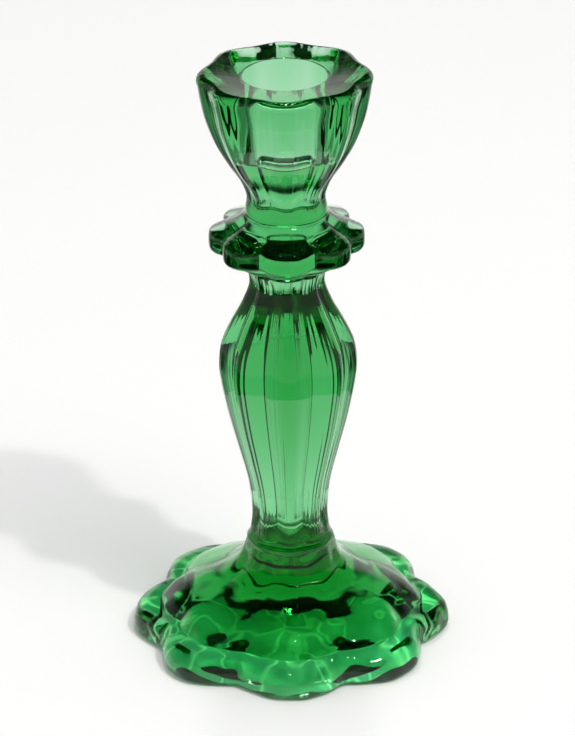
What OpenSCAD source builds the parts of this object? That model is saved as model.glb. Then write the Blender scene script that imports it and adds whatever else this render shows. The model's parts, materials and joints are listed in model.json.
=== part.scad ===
// Pressed glass candlestick: scalloped foot, fluted baluster column, toothed drip collar
// and a tulip cup with a socket for a dinner candle.
// Every length is in millimetres. The origin is the centre of the foot, on the table.

/* [Whole candlestick] */
// Height from the table to the rim of the cup
total_h = 170; // [160:1:180]
// Flutes, scallops and teeth round the candlestick
lobes = 8; // [6:1:10]
// Facets across each lobe
facets = 10; // [6:2:12]

/* [Foot] */
// Radius over the scallops of the foot
foot_r = 44.9; // [42:0.1:48]
// Height of the foot's thick rim
foot_rim_h = 8.4; // [7:0.1:9.5]
// Depth of the scallops, as a share of the foot's radius
foot_scallop = 0.115; // [0.04:0.005:0.16]
// Height of the domed foot, up to the base ring
foot_h = 28.2; // [26:0.1:30]
// Radius of the hollow pressed into the underside
recess_r = 36.5; // [20:0.5:37]
// Depth of that hollow
recess_depth = 1.4; // [0.5:0.1:3]

/* [Column] */
// Radius at the foot of the column, where it meets the base ring
base_r = 12.3; // [11.5:0.1:13.5]
// Height of the base ring
base_ring_h = 4.4; // [3:0.1:6]
// Radius of the waist above the base ring
waist_r = 10.6; // [10:0.1:12]
// Radius over the belly of the baluster
belly_r = 19.2; // [16:0.1:22]
// Height of the belly above the table
belly_z = 83.5; // [78:0.5:88]
// Radius of the neck under the collar
neck_r = 10.4; // [9.5:0.1:11.5]
// Depth of the column's flutes, as a share of its radius
flute = 0.13; // [0.05:0.005:0.16]

/* [Drip collar] */
// Radius over the teeth of the drip collar
collar_r = 21.2; // [19:0.1:23]
// Depth of the notches between the teeth, as a share of the radius
notch = 0.13; // [0.04:0.005:0.16]
// Height of the collar's underside above the table
collar_z = 117.6; // [116:0.1:119]
// Height of the collar, from its underside to the neck ring
collar_h = 11.8; // [11:0.1:12.5]
// Radius of the small step under the collar
step_r = 16.6; // [14:0.1:18]
// Height of that step
step_h = 5.2; // [4:0.1:6]

/* [Cup] */
// Radius of the plain neck ring under the cup
ring_r = 11.2; // [10.5:0.1:12]
// Height of the neck ring
ring_h = 3.2; // [2:0.1:4]
// Radius over the lobes of the cup's rim
rim_r = 24; // [22:0.1:26]
// Depth of the cup's flutes, as a share of its radius
cup_flute = 0.09; // [0.03:0.005:0.12]
// Depth of the waves in the rim, as a share of its radius
rim_wave = 0.07; // [0.02:0.005:0.1]

/* [Candle socket] */
// Radius of the socket; a dinner candle is 22 mm across
socket_r = 11.5; // [11.2:0.1:12.5]
// Depth of the socket below the rim
socket_depth = 22; // [18:0.5:24]
// Rounding at the mouth and round the floor of the socket
socket_round = 0.7; // [0.5:0.1:1.5]
// Depth of the socket's mouth below the rim, as the top slopes in
mouth_drop = 0.7; // [0.3:0.1:1.2]

/* [Hidden] */

glass = [0.10, 0.55, 0.28, 0.85];
sides = lobes * facets;
spline_steps = 2;
round_steps = 5;
overrun = 1;

// Heights of the faces where one sub-part meets the next
base_ring_top = foot_h + base_ring_h;
step_z = collar_z - step_h;
ring_z = collar_z + collar_h;
cup_z = ring_z + ring_h;
cup_h = total_h - cup_z;
belly_rise = belly_z - base_ring_top;
belly_fall = step_z - belly_z;

// A section is [height, radius over the lobes, depth of the lobes, sharpness of the lobes].
// Sharpness is the power of the lobe's cosine: 2 is a soft wave, 1 leaves sharp valleys, and
// less than 1 flattens the lobes and narrows the valleys.
foot_sections = [
    [0, foot_r - 1.4, foot_scallop, 1.1],
    [1.2, foot_r - 0.2, foot_scallop, 1.1],
    [foot_rim_h * 0.42, foot_r, foot_scallop, 1.1],
    [foot_rim_h * 0.75, foot_r - 1, foot_scallop, 1.1],
    [foot_rim_h * 0.95, foot_r - 3.4, foot_scallop * 0.9, 1.1],
    [foot_rim_h, foot_r * 0.835, foot_scallop * 0.65, 1.1],
    [foot_rim_h + 0.1, foot_r * 0.818, foot_scallop * 0.6, 1.1],
    [foot_rim_h + 0.9, foot_r * 0.803, foot_scallop * 0.58, 1.1],
    [foot_rim_h + 3.6, foot_r * 0.735, foot_scallop * 0.5, 1.1],
    [foot_rim_h + 6.3, foot_r * 0.61, foot_scallop * 0.45, 1.1],
    [foot_rim_h + 9.4, foot_r * 0.455, foot_scallop * 0.4, 1.1],
    [foot_rim_h + 14, foot_r * 0.325, foot_scallop * 0.3, 1.1],
    [foot_h, base_r, 0.02, 1.6],
];

base_ring_sections = [
    [foot_h, base_r, 0.02, 1.6],
    [foot_h + base_ring_h * 0.3, base_r - 0.1, 0.02, 1.6],
    [foot_h + base_ring_h * 0.52, waist_r + 0.9, 0.025, 1.6],
    [base_ring_top, waist_r + 0.4, 0.035, 1.4],
];

column_sections = [
    [base_ring_top, waist_r + 0.4, 0.035, 1.4],
    [base_ring_top + 5.5, waist_r, flute, 1.1],
    [base_ring_top + belly_rise * 0.28, waist_r + 0.9, flute, 1.1],
    [base_ring_top + belly_rise * 0.48, waist_r + 3.4, flute, 1.1],
    [base_ring_top + belly_rise * 0.68, belly_r - 2.6, flute, 1.1],
    [base_ring_top + belly_rise * 0.88, belly_r - 0.6, flute, 1.1],
    [belly_z, belly_r, flute, 1.1],
    [belly_z + belly_fall * 0.22, belly_r - 0.8, flute, 1.1],
    [belly_z + belly_fall * 0.45, belly_r - 3.7, flute, 1.1],
    [belly_z + belly_fall * 0.66, neck_r + 1.9, flute, 1.1],
    [belly_z + belly_fall * 0.85, neck_r, flute, 1.1],
    [step_z, neck_r + 0.6, 0.05, 1.2],
];

step_sections = [
    [step_z, neck_r + 0.6, 0.05, 1.2],
    [step_z + step_h * 0.35, neck_r + 2.2, 0.06, 1.1],
    [step_z + step_h * 0.7, step_r - 0.5, 0.08, 1],
    [collar_z, step_r, 0.1, 0.9],
];

collar_sections = [
    [collar_z, step_r, 0.1, 0.9],
    [collar_z + 0.8, collar_r - 1.2, notch, 0.6],
    [collar_z + 1.6, collar_r, notch, 0.5],
    [collar_z + 5.4, collar_r, notch, 0.5],
    [collar_z + 6.4, collar_r - 1.2, notch * 0.9, 0.6],
    [collar_z + collar_h * 0.74, ring_r + 3.6, 0.07, 1.2],
    [ring_z - 0.8, ring_r + 0.6, 0.03, 1.4],
    [ring_z, ring_r + 0.1, 0.02, 1.6],
];

ring_sections = [
    [ring_z, ring_r + 0.1, 0.02, 1.6],
    [ring_z + ring_h * 0.5, ring_r, 0.02, 1.6],
    [cup_z, ring_r - 0.3, 0.03, 1.4],
];

cup_sections = [
    [cup_z, ring_r - 0.3, 0.03, 1.4],
    [cup_z + cup_h * 0.055, ring_r - 0.3, cup_flute * 0.6, 1.6],
    [cup_z + cup_h * 0.16, rim_r * 0.52, cup_flute, 1.6],
    [cup_z + cup_h * 0.29, rim_r * 0.655, cup_flute, 1.6],
    [cup_z + cup_h * 0.45, rim_r * 0.795, cup_flute, 1.6],
    [cup_z + cup_h * 0.64, rim_r * 0.905, cup_flute, 1.6],
    [cup_z + cup_h * 0.8, rim_r * 0.96, cup_flute, 1.7],
    [cup_z + cup_h * 0.9, rim_r * 0.985, rim_wave, 1.8],
    [total_h - 1.8, rim_r, rim_wave, 1.9],
    [total_h - 0.5, rim_r - 0.7, rim_wave, 1.9],
    [total_h, rim_r - 2.2, rim_wave * 0.8, 1.6],
];

// Point at t, from 0 to 1, on the smooth curve from b to c; a and d are the points beyond them
function curve(a, b, c, d, t) =
    (2 * b + (c - a) * t + (2 * a - 5 * b + 4 * c - d) * t * t + (3 * b - 3 * c + d - a) * t * t * t) / 2;

// Sections with others between them, so that the profile is a smooth curve
function smoothed(s) = let(last = len(s) - 1) [
    for (i = [0 : last - 1], k = [0 : spline_steps - 1])
        curve(s[max(i - 1, 0)], s[i], s[i + 1], s[min(i + 2, last)], k / spline_steps),
    s[last],
];

// Radius of one section at an angle
function lobed_r(s, angle) = s[1] * (1 - s[2] * (1 - pow(abs(cos(lobes * angle / 2)), s[3])));

// The points of one section
function outline(s) = [
    for (k = [0 : sides - 1])
        let(angle = 360 * k / sides, r = lobed_r(s, angle))
            [r * cos(angle), r * sin(angle), s[0]],
];

// Closed solid through a list of sections, bottom to top
module lobed_solid(sections) {
    s = smoothed(sections);
    rings = len(s);
    points = [for (section = s) each outline(section)];
    bottom = [for (k = [0 : sides - 1]) k];
    top = [for (k = [sides - 1 : -1 : 0]) (rings - 1) * sides + k];
    walls = [
        for (i = [0 : rings - 2], k = [0 : sides - 1])
            let(a = i * sides + k, b = i * sides + (k + 1) % sides)
                each [[a, a + sides, b], [b, a + sides, b + sides]],
    ];
    polyhedron(points, concat([bottom], walls, [top]));
}

// Space for the candle: a true cylinder with a rounded floor and mouth, under a top that slopes in
module socket_space() {
    floor_z = total_h - socket_depth;
    mouth_z = total_h - mouth_drop;
    lip_r = rim_r - 2.2;
    rotate_extrude($fn = 96)
        polygon([
            [0, floor_z],
            for (i = [0 : round_steps])
                let(a = -90 + 90 * i / round_steps)
                    [socket_r - socket_round + socket_round * cos(a),
                     floor_z + socket_round + socket_round * sin(a)],
            for (i = [0 : round_steps])
                let(a = 180 - 90 * i / round_steps)
                    [socket_r + socket_round + socket_round * cos(a),
                     mouth_z - socket_round + socket_round * sin(a)],
            [lip_r * (1 - rim_wave), total_h],
            [lip_r * (1 - rim_wave), total_h + overrun],
            [0, total_h + overrun],
        ]);
}

// Scalloped foot with its domed top and the shallow hollow under it
module foot() {
    color(glass)
        difference() {
            lobed_solid(foot_sections);
            translate([0, 0, -overrun])
                cylinder(h = recess_depth + overrun, r = recess_r, $fn = 96);
        }
}

// Plain ring between the foot's dome and the flutes of the column
module base_ring() {
    color(glass) lobed_solid(base_ring_sections);
}

// Fluted baluster
module column() {
    color(glass) lobed_solid(column_sections);
}

// Small flared step that carries the drip collar
module collar_step() {
    color(glass) lobed_solid(step_sections);
}

// Toothed collar that catches the wax
module drip_collar() {
    color(glass) lobed_solid(collar_sections);
}

// Plain ring between the collar and the cup
module neck_ring() {
    color(glass) lobed_solid(ring_sections);
}

// Tulip cup with the socket for the candle
module candle_cup() {
    color(glass)
        difference() {
            lobed_solid(cup_sections);
            socket_space();
        }
}

foot();
base_ring();
column();
collar_step();
drip_collar();
neck_ring();
candle_cup();
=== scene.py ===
"""Pressed green glass candlestick on a pale table, in metres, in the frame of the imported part."""

import json
import math

import bmesh
import bpy
import numpy as np
from mathutils import Matrix, Vector


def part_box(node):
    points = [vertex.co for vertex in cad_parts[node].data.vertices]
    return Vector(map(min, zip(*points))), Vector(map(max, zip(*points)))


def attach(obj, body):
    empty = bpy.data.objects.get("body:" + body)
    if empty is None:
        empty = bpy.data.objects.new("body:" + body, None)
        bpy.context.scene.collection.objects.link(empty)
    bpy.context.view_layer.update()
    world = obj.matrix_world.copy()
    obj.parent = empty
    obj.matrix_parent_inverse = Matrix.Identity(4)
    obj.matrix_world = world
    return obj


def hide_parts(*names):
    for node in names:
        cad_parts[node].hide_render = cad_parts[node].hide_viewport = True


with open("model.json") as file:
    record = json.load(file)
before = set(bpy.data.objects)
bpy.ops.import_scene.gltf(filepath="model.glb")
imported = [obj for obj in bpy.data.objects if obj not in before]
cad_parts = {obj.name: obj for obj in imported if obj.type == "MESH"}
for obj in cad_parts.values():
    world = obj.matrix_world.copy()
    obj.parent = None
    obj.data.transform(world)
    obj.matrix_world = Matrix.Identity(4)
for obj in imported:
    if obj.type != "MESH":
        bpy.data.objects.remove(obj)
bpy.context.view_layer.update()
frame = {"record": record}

MM = 0.001

# Form of the pressed glass, in mm and radians
LOBES = 8
STEPS = 384  # segments round each piece, 48 to a lobe
RING_STEP = 0.55  # longest step along a profile
VALLEY = 0.022  # rounding at the bottom of the valleys between lobes
SEAM_ANGLE = math.radians(-90 + 6)  # where the two halves of the mould met, at the front
SEAM_LIFT = 0.16  # height of the mould seam
SEAM_WIDTH = math.radians(1.1)
WAVES = 9  # slow waves that cross one another in the foot
WAVE_LENGTH = 9.0
FOOT_WAVES = 0.22  # height of those waves
STREAKS = 7  # sets of upright streaks left by the mould
STREAK_COUNT = 44  # streaks round the piece in a middling set
COLUMN_STREAKS = 0.05  # height of the streaks
CUP_STREAKS = 0.03
PLAIN_DEPTH = 0.04  # lobes shallower than this fade into the plain rings, and the waves with them
JOINT_GAP = 0.01  # between the joint faces of two pieces

# The glass itself
GLASS_IOR = 1.5
GREEN = (0.13, 0.76, 0.34, 1)
GREEN_DENSITY = 105.0
POLISH_DEPTH = 0.00003  # depth of the fine ripple in the polish, m
# Painted light and shade in the base colour of the foot's underside, in place of the light that the glass
# gathers on the table
PAINTED_LIGHT_LINE = (0.5, 1.0, 0.62, 1)  # painted light: the pale lines of the net on the foot's underside
PAINTED_NET_SHADE = (0.08, 0.38, 0.22, 1)  # painted shade: the darker glass between those lines
PAINTED_LINE_WIDTH = 0.075  # half the width of a painted light line, as a share of a mesh of the net

# Brightness of the studio. An edge is the stretch of the direction's Y or Z over which it changes.
BACK_LEVEL = 1.0
FRONT_LEVEL = 0.03
SIDE_EDGE = (0.62, 0.82)
WALL_LEVEL = 0.38
WALL_EDGE = (-0.34, -0.26)
TOP_LEVEL = 0.02
TOP_EDGE = (0.26, 0.46)
DOME_LEVEL = 0.72  # on the table, from all round
PATCH_LEVEL = 5.5  # on the table, from round about the key lamp
PATCH_RADIUS = 14  # degrees
PATCH_EDGE = 2
THROUGH_LEVEL = 3.0  # how much brighter the dome is on the table under the glass
THROUGH_DEPTH = 3.5  # glass surfaces passed by light that reaches the eye from there
KEY_AZIMUTH = 45
KEY_ELEVATION = 57
KEY_COLOUR = (1.0, 0.97, 0.92)

# Table and camera, in m and degrees
NEAR_TABLE = 0.12
FAR_TABLE = 6.0
TABLE_GAP = 0.00005  # between the foot and the near table, and between the two tables
LENS = 209.8  # mm
CAMERA_ELEVATION = 25.8
CAMERA_DISTANCE = 1.194
CAMERA_AIM = (-0.0002, 0, 0.0813)
CAMERA_ROLL = -0.7


def top_of(node):
    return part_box(node)[1].z / MM


def radius_of(node):
    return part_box(node)[1].x / MM


total_h = top_of("candle_cup")
foot_h = top_of("foot")
base_ring_top = top_of("base_ring")
step_z = top_of("column")
collar_z = top_of("collar_step")
ring_z = top_of("drip_collar")
cup_z = top_of("neck_ring")
foot_r = radius_of("foot")
belly_r = radius_of("column")
collar_r = radius_of("drip_collar")
rim_r = radius_of("candle_cup")

socket = frame["record"]["mounts"][0]["dims"]["r_mm"]
SOCKET_DEPTH = 22.0
SOCKET_ROUND = 0.7
base_r = 12.3
waist_r = 10.6
belly_z = 83.5
neck_r = 10.4
ring_r = 11.2
step_r = 16.6
RIM_H = 8.4
RECESS_R = 36.5
RECESS_DEPTH = 1.4
scallop = 0.115
flute = 0.13
notch = 0.13
cup_flute = 0.09
rim_wave = 0.07
rise = belly_z - base_ring_top
fall = step_z - belly_z
cup_h = total_h - cup_z
collar_h = ring_z - collar_z
step_h = collar_z - step_z

# Sections are (height, radius over the lobes, depth of the lobes, sharpness), as in the solid part.
# Sharpness is the power of the lobe's cosine: 2 is a soft wave, and less than 1 a flat lobe.
foot_top = [
    (0, foot_r - 1.4, scallop, 1.1),
    (1.2, foot_r - 0.2, scallop, 1.1),
    (RIM_H * 0.42, foot_r, scallop, 1.1),
    (RIM_H * 0.75, foot_r - 1.0, scallop, 1.1),
    (RIM_H * 0.95, foot_r - 3.4, scallop * 0.9, 1.1),
    (RIM_H, foot_r * 0.835, scallop * 0.65, 1.1),
    (RIM_H + 0.1, foot_r * 0.818, scallop * 0.6, 1.1),
    (RIM_H + 0.9, foot_r * 0.803, scallop * 0.58, 1.1),
    (RIM_H + 3.6, foot_r * 0.735, scallop * 0.5, 1.1),
    (RIM_H + 6.3, foot_r * 0.61, scallop * 0.45, 1.1),
    (RIM_H + 9.4, foot_r * 0.455, scallop * 0.4, 1.1),
    (RIM_H + 14, foot_r * 0.325, scallop * 0.3, 1.1),
    (foot_h, base_r, 0.02, 1.6),
]
base_ring = [
    (foot_h, base_r, 0.02, 1.6),
    (foot_h + 1.3, base_r - 0.1, 0.02, 1.6),
    (foot_h + 2.3, waist_r + 0.9, 0.025, 1.6),
    (base_ring_top, waist_r + 0.4, 0.035, 1.4),
]
column = [
    (base_ring_top, waist_r + 0.4, 0.035, 1.4),
    (base_ring_top + 5.5, waist_r, flute, 1.1),
    (base_ring_top + rise * 0.28, waist_r + 0.9, flute, 1.1),
    (base_ring_top + rise * 0.48, waist_r + 3.4, flute, 1.1),
    (base_ring_top + rise * 0.68, belly_r - 2.6, flute, 1.1),
    (base_ring_top + rise * 0.88, belly_r - 0.6, flute, 1.1),
    (belly_z, belly_r, flute, 1.1),
    (belly_z + fall * 0.22, belly_r - 0.8, flute, 1.1),
    (belly_z + fall * 0.45, belly_r - 3.7, flute, 1.1),
    (belly_z + fall * 0.66, neck_r + 1.9, flute, 1.1),
    (belly_z + fall * 0.85, neck_r, flute, 1.1),
    (step_z, neck_r + 0.6, 0.05, 1.2),
]
collar_step = [
    (step_z, neck_r + 0.6, 0.05, 1.2),
    (step_z + step_h * 0.35, neck_r + 2.2, 0.06, 1.1),
    (step_z + step_h * 0.7, step_r - 0.5, 0.08, 1),
    (collar_z, step_r, 0.1, 0.9),
]
drip_collar = [
    (collar_z, step_r, 0.1, 0.9),
    (collar_z + 0.8, collar_r - 1.2, notch, 0.6),
    (collar_z + 1.6, collar_r, notch, 0.5),
    (collar_z + 5.4, collar_r, notch, 0.5),
    (collar_z + 6.4, collar_r - 1.2, notch * 0.9, 0.6),
    (collar_z + collar_h * 0.74, ring_r + 3.6, 0.07, 1.2),
    (ring_z - 0.8, ring_r + 0.6, 0.03, 1.4),
    (ring_z, ring_r + 0.1, 0.02, 1.6),
]
neck_ring = [
    (ring_z, ring_r + 0.1, 0.02, 1.6),
    ((ring_z + cup_z) / 2, ring_r, 0.02, 1.6),
    (cup_z, ring_r - 0.3, 0.03, 1.4),
]
cup_outside = [
    (cup_z, ring_r - 0.3, 0.03, 1.4),
    (cup_z + cup_h * 0.055, ring_r - 0.3, cup_flute * 0.6, 1.6),
    (cup_z + cup_h * 0.16, rim_r * 0.52, cup_flute, 1.6),
    (cup_z + cup_h * 0.29, rim_r * 0.655, cup_flute, 1.6),
    (cup_z + cup_h * 0.45, rim_r * 0.795, cup_flute, 1.6),
    (cup_z + cup_h * 0.64, rim_r * 0.905, cup_flute, 1.6),
    (cup_z + cup_h * 0.8, rim_r * 0.96, cup_flute, 1.7),
    (cup_z + cup_h * 0.9, rim_r * 0.985, rim_wave, 1.8),
    (total_h - 1.8, rim_r, rim_wave, 1.9),
    (total_h - 0.5, rim_r - 0.7, rim_wave, 1.9),
    (total_h, rim_r - 2.2, rim_wave * 0.8, 1.6),
]
floor_z = total_h - SOCKET_DEPTH
mouth_z = total_h - 0.7
socket_mouth = [
    (mouth_z, socket + SOCKET_ROUND, 0, 2),
    (mouth_z - SOCKET_ROUND * 0.3, socket + SOCKET_ROUND * 0.3, 0, 2),
    (mouth_z - SOCKET_ROUND, socket, 0, 2),
]
socket_wall = [
    (mouth_z - SOCKET_ROUND, socket, 0, 2),
    (floor_z + SOCKET_ROUND, socket, 0, 2),
]
socket_corner = [
    (floor_z + SOCKET_ROUND, socket, 0, 2),
    (floor_z + SOCKET_ROUND * 0.3, socket - SOCKET_ROUND * 0.3, 0, 2),
    (floor_z, socket - SOCKET_ROUND, 0, 2),
]


def curve(a, b, c, d, t):
    """The section at t, from 0 to 1, on the smooth curve from b to c; a and d are the ones beyond them."""
    return tuple(
        (2 * q + (r - p) * t + (2 * p - 5 * q + 4 * r - s) * t * t + (3 * q - 3 * r + s - p) * t**3) / 2
        for p, q, r, s in zip(a, b, c, d)
    )


def smoothed(sections):
    """The sections with others between them on a smooth curve, none further apart than RING_STEP."""
    out = []
    last = len(sections) - 1
    for i in range(last):
        a, b, c, d = (sections[max(0, min(last, i + k))] for k in (-1, 0, 1, 2))
        span = math.hypot(c[0] - b[0], c[1] - b[1])
        count = max(2, math.ceil(span / RING_STEP))
        out += [curve(a, b, c, d, k / count) for k in range(count)]
    return out + [sections[last]]


def turned(name, stretches, joints=(), ripple=0.0, draw=0.0):
    """A closed glass piece: a profile of smooth stretches spun round the axis, then lobed and seamed."""
    rows = []
    for stretch in stretches:
        part = smoothed(stretch)
        rows += part if not rows or rows[-1][:2] != part[0][:2] else part[1:]
    bm = bmesh.new()
    layers = [bm.verts.layers.float.new(key) for key in ("lobe_depth", "lobe_sharpness", "crease")]
    rail = []
    for z, r, depth, sharpness in [(rows[0][0], 0, 0, 2), *rows, (rows[-1][0], 0, 0, 2)]:
        v = bm.verts.new((r * MM, 0, z * MM))
        at_joint = r > 0 and any(abs(z - j) < 1e-4 for j in joints)
        for layer, value in zip(layers, (depth, sharpness, float(at_joint))):
            v[layer] = value
        rail.append(v)
    edges = [bm.edges.new(pair) for pair in zip(rail, rail[1:])]
    lobe_angle = 2 * math.pi / LOBES
    about = {"cent": (0, 0, 0), "axis": (0, 0, 1)}
    bmesh.ops.spin(bm, geom=rail + edges, angle=lobe_angle, steps=STEPS // LOBES, **about)
    sector = bm.verts[:] + bm.edges[:] + bm.faces[:]
    others = LOBES - 1
    bmesh.ops.spin(bm, geom=sector, angle=lobe_angle * others, steps=others, use_duplicate=True, **about)
    bmesh.ops.remove_doubles(bm, verts=bm.verts, dist=1e-7)
    bmesh.ops.recalc_face_normals(bm, faces=bm.faces)
    mesh = bpy.data.meshes.new(name)
    bm.to_mesh(mesh)
    bm.free()
    lobe(mesh, ripple, draw)
    close_joints(mesh, joints)
    mesh.shade_smooth()
    piece = bpy.data.objects.new(name, mesh)
    bpy.context.scene.collection.objects.link(piece)
    return piece


def values(mesh, name):
    out = np.empty(len(mesh.vertices))
    mesh.attributes[name].data.foreach_get("value", out)
    return out


def uneven(co):
    """The slight unevenness of pressed glass, in mm: slow waves that cross one another at all angles."""
    height = np.zeros(len(co))
    for k in range(WAVES):
        turn, lean = k * 2.4, math.sin(k * 1.9) * 0.8
        way = np.array([math.cos(turn) * math.cos(lean), math.sin(turn) * math.cos(lean), math.sin(lean)])
        length = WAVE_LENGTH * MM * (1 + 0.35 * math.sin(k * 4.1))
        height += np.sin(co @ way * 2 * math.pi / length + k)
    return height / math.sqrt(WAVES)


def drawn(angle, height):
    """The long upright streaks that the mould leaves, of height 1."""
    out = np.zeros(len(angle))
    for k in range(STREAKS):
        count = STREAK_COUNT + round(STREAK_COUNT * 0.7 * math.sin(k * 2.4))
        out += np.sin(count * angle + k * 1.7 + 0.5 * np.sin(height / MM / (17 + 5 * k) + k))
    return out / math.sqrt(STREAKS)


def lobe(mesh, ripple, draw):
    """Draws the valleys between the lobes in towards the axis, and raises the mould seam."""
    co = np.empty(len(mesh.vertices) * 3)
    mesh.vertices.foreach_get("co", co)
    co = co.reshape(-1, 3)
    radius = np.maximum(np.hypot(co[:, 0], co[:, 1]), 1e-9)
    angle = np.arctan2(co[:, 1], co[:, 0])
    half = np.maximum(values(mesh, "lobe_sharpness"), 0.3) / 2
    depth = values(mesh, "lobe_depth")
    crest = np.cos(LOBES * angle / 2) ** 2
    low, high = VALLEY**half, (1 + VALLEY) ** half
    valley = 1 - ((crest + VALLEY) ** half - low) / (high - low)
    off = (angle - SEAM_ANGLE + math.pi / 2) % math.pi - math.pi / 2
    seam = SEAM_LIFT * MM / radius * np.exp(-((off / SEAM_WIDTH) ** 2)) * (depth > 0)
    rough = ripple * uneven(co) + draw * drawn(angle, co[:, 2])
    share = 1 - depth * valley + seam + np.minimum(depth / PLAIN_DEPTH, 1) * rough * MM / radius
    co[:, :2] *= share[:, None]
    mesh.vertices.foreach_set("co", co.ravel())
    mesh.update()


def close_joints(mesh, joints):
    """Marks the flat faces where a piece meets its neighbours, and leaves a hair's gap there."""
    co = np.empty(len(mesh.vertices) * 3)
    mesh.vertices.foreach_get("co", co)
    co = co.reshape(-1, 3)
    ends = np.empty(len(mesh.edges) * 2, int)
    mesh.edges.foreach_get("vertices", ends)
    ends = ends.reshape(-1, 2)
    crease = values(mesh, "crease") > 0.5
    sharp = mesh.attributes.new("sharp_edge", "BOOLEAN", "EDGE")
    sharp.data.foreach_set("value", crease[ends].all(1))
    centres = np.empty(len(mesh.polygons) * 3)
    mesh.polygons.foreach_get("center", centres)
    height = centres.reshape(-1, 3)[:, 2]
    open_face = np.zeros(len(height), bool)
    middle = co[:, 2].mean()
    for z in joints:
        open_face |= abs(height - z * MM) < 1e-7
        here = abs(co[:, 2] - z * MM) < 1e-7
        co[here, 2] += JOINT_GAP / 2 * MM * np.sign(middle - z * MM)
    surface = mesh.attributes.new("surface", "FLOAT", "FACE")
    surface.data.foreach_set("value", 1.0 - open_face)
    mesh.vertices.foreach_set("co", co.ravel())
    mesh.update()


def noise(nodes, scale, detail):
    tex = nodes.new("ShaderNodeTexNoise")
    tex.inputs["Scale"].default_value = scale
    tex.inputs["Detail"].default_value = detail
    return tex


def ramp(tree, source, edge, levels, smooth=True):
    """A value that goes from levels[0] to levels[1] while the source goes over the edge."""
    node = tree.nodes.new("ShaderNodeMapRange")
    if smooth:
        node.interpolation_type = "SMOOTHSTEP"
    node.inputs["From Min"].default_value, node.inputs["From Max"].default_value = edge
    node.inputs["To Min"].default_value, node.inputs["To Max"].default_value = levels
    tree.links.new(source, node.inputs["Value"])
    return node


def maths(tree, operation, first, second):
    node = tree.nodes.new("ShaderNodeMath")
    node.operation = operation
    for socket, value in zip(node.inputs, (first, second)):
        if isinstance(value, (int, float)):
            socket.default_value = value
        else:
            tree.links.new(value, socket)
    return node.outputs["Value"]


def mixed(tree, factor, first, second):
    """A colour that goes from the first to the second with the factor."""
    node = tree.nodes.new("ShaderNodeMix")
    node.data_type = "RGBA"
    tree.links.new(factor, node.inputs["Factor"])
    for socket, value in ((node.inputs[6], first), (node.inputs[7], second)):
        if isinstance(value, tuple):
            socket.default_value = value
        else:
            tree.links.new(value, socket)
    return node.outputs[2]


def fire_polish():
    """Fire-polished pressed glass: long soft streaks down the mould, a fine ripple, faint handling marks."""
    g = bpy.data.node_groups.new("fire_polish", "ShaderNodeTree")
    g.interface.new_socket("Streaks", in_out="INPUT", socket_type="NodeSocketFloat")
    g.interface.new_socket("Marks", in_out="INPUT", socket_type="NodeSocketFloat")
    g.interface.new_socket("Height", in_out="OUTPUT", socket_type="NodeSocketFloat")
    g.interface.new_socket("Roughness", in_out="OUTPUT", socket_type="NodeSocketFloat")
    n, link = g.nodes, g.links.new
    inp, out = n.new("NodeGroupInput"), n.new("NodeGroupOutput")
    where = n.new("ShaderNodeTexCoord")
    upright = n.new("ShaderNodeMapping")
    upright.inputs["Scale"].default_value = (260, 260, 30)
    streak = noise(n, 1.0, 2.0)
    wave = noise(n, 120.0, 1.0)
    marks = noise(n, 900.0, 3.0)
    link(where.outputs["Object"], upright.inputs["Vector"])
    link(upright.outputs["Vector"], streak.inputs["Vector"])
    link(where.outputs["Object"], wave.inputs["Vector"])
    link(where.outputs["Object"], marks.inputs["Vector"])
    long = maths(g, "MULTIPLY", streak.outputs["Fac"], inp.outputs["Streaks"])
    fine = maths(g, "MULTIPLY", wave.outputs["Fac"], 0.35)
    link(maths(g, "ADD", fine, long), out.inputs["Height"])
    haze = ramp(g, marks.outputs["Fac"], (0.62, 0.8), (0.0, 1.0), smooth=False)
    link(inp.outputs["Marks"], haze.inputs["To Max"])
    link(haze.outputs["Result"], out.inputs["Roughness"])
    return g


def underside_net():
    """Painted light and shade on the foot's underside: a net of pale lines in the base colour, in place of
    the light that the glass gathers there, on darker painted shade between them.
    """
    g = bpy.data.node_groups.new("underside_net", "ShaderNodeTree")
    g.interface.new_socket("Line", in_out="INPUT", socket_type="NodeSocketColor")
    g.interface.new_socket("Shade", in_out="INPUT", socket_type="NodeSocketColor")
    g.interface.new_socket("Width", in_out="INPUT", socket_type="NodeSocketFloat")
    g.interface.new_socket("Colour", in_out="OUTPUT", socket_type="NodeSocketColor")
    n, link = g.nodes, g.links.new
    inp, out = n.new("NodeGroupInput"), n.new("NodeGroupOutput")
    where = n.new("ShaderNodeTexCoord")
    drift = noise(n, 80.0, 1.0)
    link(where.outputs["Object"], drift.inputs["Vector"])
    bend = n.new("ShaderNodeVectorMath")
    bend.operation = "MULTIPLY_ADD"
    bend.inputs[1].default_value = (0.04, 0.04, 0.0)
    link(drift.outputs["Color"], bend.inputs[0])
    link(where.outputs["Object"], bend.inputs[2])
    meshes = n.new("ShaderNodeTexVoronoi")
    meshes.feature = "DISTANCE_TO_EDGE"
    meshes.inputs["Scale"].default_value = 62.0
    link(bend.outputs["Vector"], meshes.inputs["Vector"])
    light_line = ramp(g, meshes.outputs["Distance"], (0.0, 1.0), (1.0, 0.0))
    link(inp.outputs["Width"], light_line.inputs["From Max"])
    split = n.new("ShaderNodeSeparateXYZ")
    link(where.outputs["Object"], split.inputs[0])
    above = maths(g, "GREATER_THAN", split.outputs["Z"], (RECESS_DEPTH + 0.2) * MM)
    # Painted light lines on painted shade below the recess roof, plain white base colour above it
    painted_net = mixed(g, light_line.outputs["Result"], inp.outputs["Shade"], inp.outputs["Line"])
    link(mixed(g, above, painted_net, (1, 1, 1, 1)), out.inputs["Colour"])
    return g


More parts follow.
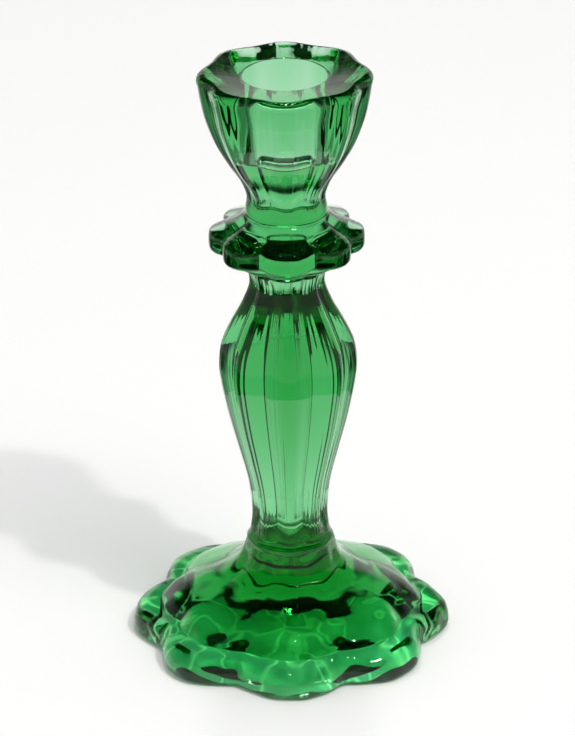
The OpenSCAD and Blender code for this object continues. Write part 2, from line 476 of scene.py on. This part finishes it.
def green_glass():
    mat = bpy.data.materials.new("green_glass")
    mat.use_nodes = True
    nt = mat.node_tree
    nt.nodes.clear()
    link = nt.links.new
    out = nt.nodes.new("ShaderNodeOutputMaterial")
    glass = nt.nodes.new("ShaderNodeBsdfPrincipled")
    glass.inputs["Transmission Weight"].default_value = 1.0
    glass.inputs["IOR"].default_value = GLASS_IOR
    # The base colour carries the painted light and painted shade of the net on the foot's underside
    painted_net = nt.nodes.new("ShaderNodeGroup")
    painted_net.node_tree = underside_net()
    painted_net.inputs["Line"].default_value = PAINTED_LIGHT_LINE
    painted_net.inputs["Shade"].default_value = PAINTED_NET_SHADE
    painted_net.inputs["Width"].default_value = PAINTED_LINE_WIDTH
    link(painted_net.outputs["Colour"], glass.inputs["Base Color"])
    polish = nt.nodes.new("ShaderNodeGroup")
    polish.node_tree = fire_polish()
    polish.inputs["Streaks"].default_value = 1.0
    polish.inputs["Marks"].default_value = 0.06
    bump = nt.nodes.new("ShaderNodeBump")
    bump.inputs["Strength"].default_value = 1.0
    bump.inputs["Distance"].default_value = POLISH_DEPTH
    link(polish.outputs["Height"], bump.inputs["Height"])
    link(bump.outputs["Normal"], glass.inputs["Normal"])
    link(polish.outputs["Roughness"], glass.inputs["Roughness"])
    surface = nt.nodes.new("ShaderNodeAttribute")
    surface.attribute_name = "surface"
    link(surface.outputs["Fac"], glass.inputs["Alpha"])
    body = nt.nodes.new("ShaderNodeVolumeAbsorption")
    body.inputs["Color"].default_value = GREEN
    body.inputs["Density"].default_value = GREEN_DENSITY
    link(glass.outputs["BSDF"], out.inputs["Surface"])
    link(body.outputs["Volume"], out.inputs["Volume"])
    return mat


glass = green_glass()
underside = [(RECESS_DEPTH, RECESS_R, 0, 2), (0, RECESS_R + 0.6, 0, 2)]
heel = [(0, RECESS_R + 0.6, 0, 2), (0, foot_r - 1.4, scallop, 1.1)]
rim_top = [(total_h, rim_r - 2.2, rim_wave * 0.8, 1.6), (mouth_z, socket + SOCKET_ROUND, 0, 2)]
cup_inside = [rim_top, socket_mouth, socket_wall, socket_corner]
made = {
    "foot": turned("glass_foot", [underside, heel, foot_top], joints=[foot_h], ripple=FOOT_WAVES),
    "base_ring": turned("glass_base_ring", [base_ring], joints=[foot_h, base_ring_top]),
    "column": turned("glass_column", [column], joints=[base_ring_top, step_z], draw=COLUMN_STREAKS),
    "collar_step": turned("glass_collar_step", [collar_step], joints=[step_z, collar_z]),
    "drip_collar": turned("glass_drip_collar", [drip_collar], joints=[collar_z, ring_z]),
    "neck_ring": turned("glass_neck_ring", [neck_ring], joints=[ring_z, cup_z]),
    "candle_cup": turned("glass_cup", [cup_outside, *cup_inside], joints=[cup_z], draw=CUP_STREAKS),
}
for node, piece in made.items():
    piece.data.materials.append(glass)
    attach(piece, "root")
    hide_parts(node)


# Table, lights and camera

def pale_table():
    mat = bpy.data.materials.new("pale_table")
    mat.use_nodes = True
    p = mat.node_tree.nodes["Principled BSDF"]
    p.inputs["Base Color"].default_value = (0.93, 0.93, 0.925, 1)
    p.inputs["Roughness"].default_value = 0.7
    p.inputs["Specular IOR Level"].default_value = 0.2
    return mat


def table_top(name, radius, depth, mat):
    bm = bmesh.new()
    bmesh.ops.create_circle(bm, cap_ends=True, segments=128, radius=radius)
    bmesh.ops.translate(bm, verts=bm.verts, vec=(0, 0, -depth))
    mesh = bpy.data.meshes.new(name)
    bm.to_mesh(mesh)
    bm.free()
    table = bpy.data.objects.new(name, mesh)
    bpy.context.scene.collection.objects.link(table)
    table.data.materials.append(mat)
    return table


def facing(azimuth, elevation):
    """The direction from the candlestick to something at that azimuth, 0 in front, and elevation."""
    a, e = math.radians(azimuth), math.radians(elevation)
    return Vector((math.sin(a) * math.cos(e), -math.cos(a) * math.cos(e), math.sin(e)))


def lamp(name, azimuth, elevation, distance, size, watts, colour=(1, 1, 1), length=None):
    data = bpy.data.lights.new(name, "AREA")
    data.shape = "RECTANGLE" if length else "DISK"
    data.size = size
    if length:
        data.size_y = length
    data.energy = watts
    data.color = colour
    obj = bpy.data.objects.new(name, data)
    way = facing(azimuth, elevation)
    aim = Vector((0, 0, 0.06))
    obj.location = aim + way * distance
    obj.rotation_euler = (-way).to_track_quat("-Z", "Y").to_euler()
    bpy.context.scene.collection.objects.link(obj)


def studio():
    """White behind the glass, softer walls round it at eye level, and dark above, beside and in front."""
    world = bpy.data.worlds.new("studio")
    bpy.context.scene.world = world
    world.use_nodes = True
    nt = world.node_tree
    nt.nodes.clear()
    link = nt.links.new
    out = nt.nodes.new("ShaderNodeOutputWorld")
    room, dome, backdrop = (nt.nodes.new("ShaderNodeBackground") for _ in range(3))
    where = nt.nodes.new("ShaderNodeTexCoord")
    path = nt.nodes.new("ShaderNodeLightPath")
    split = nt.nodes.new("ShaderNodeSeparateXYZ")
    link(where.outputs["Generated"], split.inputs[0])

    # What the glass shows and mirrors
    behind = ramp(nt, split.outputs["Y"], SIDE_EDGE, (FRONT_LEVEL, BACK_LEVEL))
    walls = ramp(nt, split.outputs["Z"], WALL_EDGE, (0.0, WALL_LEVEL))
    below_top = ramp(nt, split.outputs["Z"], TOP_EDGE, (1.0, TOP_LEVEL))
    round_about = maths(nt, "MAXIMUM", behind.outputs["Result"], walls.outputs["Result"])
    room.inputs["Color"].default_value = (1.0, 0.985, 0.965, 1)
    link(maths(nt, "MULTIPLY", round_about, below_top.outputs["Result"]), room.inputs["Strength"])

    # What lights the table: an even dome with a brighter patch round the key lamp
    toward = nt.nodes.new("ShaderNodeVectorMath")
    toward.operation = "DOT_PRODUCT"
    toward.inputs[1].default_value = facing(KEY_AZIMUTH, KEY_ELEVATION)
    link(where.outputs["Generated"], toward.inputs[0])
    patch_edge = [math.cos(math.radians(PATCH_RADIUS + k * PATCH_EDGE)) for k in (1, -1)]
    patch = ramp(nt, toward.outputs["Value"], patch_edge, (DOME_LEVEL, PATCH_LEVEL))
    through = maths(nt, "GREATER_THAN", path.outputs["Transmission Depth"], THROUGH_DEPTH)
    gain = ramp(nt, through, (0.0, 1.0), (1.0, THROUGH_LEVEL), smooth=False)
    link(maths(nt, "MULTIPLY", patch.outputs["Result"], gain.outputs["Result"]), dome.inputs["Strength"])

    # What the camera sees above the table
    backdrop.inputs["Color"].default_value = (0.97, 0.97, 0.965, 1)

    lit = nt.nodes.new("ShaderNodeMixShader")
    link(maths(nt, "GREATER_THAN", path.outputs["Diffuse Depth"], 0.5), lit.inputs["Fac"])
    link(room.outputs[0], lit.inputs[1])
    link(dome.outputs[0], lit.inputs[2])
    seen = nt.nodes.new("ShaderNodeMixShader")
    link(path.outputs["Is Camera Ray"], seen.inputs["Fac"])
    link(lit.outputs[0], seen.inputs[1])
    link(backdrop.outputs[0], seen.inputs[2])
    link(seen.outputs[0], out.inputs["Surface"])
    world.cycles.sampling_method = "NONE"


def camera():
    data = bpy.data.cameras.new("camera")
    cam = bpy.data.objects.new("camera", data)
    bpy.context.scene.collection.objects.link(cam)
    bpy.context.scene.camera = cam
    data.sensor_width = 36
    data.lens = LENS
    data.clip_start, data.clip_end = 0.05, 50
    back = facing(0, CAMERA_ELEVATION)
    cam.location = Vector(CAMERA_AIM) + back * CAMERA_DISTANCE
    roll = Matrix.Rotation(math.radians(CAMERA_ROLL), 3, "Z")
    cam.rotation_euler = ((-back).to_track_quat("-Z", "Y").to_matrix() @ roll).to_euler()


pale = pale_table()
# The far table is hidden from light that leaves the glass, which shows the studio instead
table_top("table_near", NEAR_TABLE, TABLE_GAP, pale)
far = table_top("table", FAR_TABLE, TABLE_GAP * 2, pale)
far.visible_transmission = False
far.visible_glossy = False
studio()
lamp("key", KEY_AZIMUTH, KEY_ELEVATION, distance=1.4, size=0.06, watts=5, colour=KEY_COLOUR)
lamp("strip", 180, 78, distance=1.5, size=0.06, length=0.8, watts=4)
camera()

scene = bpy.context.scene
scene.view_settings.view_transform = "Standard"
scene.view_settings.look = "None"
cy = scene.cycles
cy.max_bounces = 24
cy.transmission_bounces = 24
cy.glossy_bounces = 12
cy.transparent_max_bounces = 32
cy.caustics_reflective = True
cy.caustics_refractive = True
cy.blur_glossy = 0.3
cy.sample_clamp_indirect = 30.0
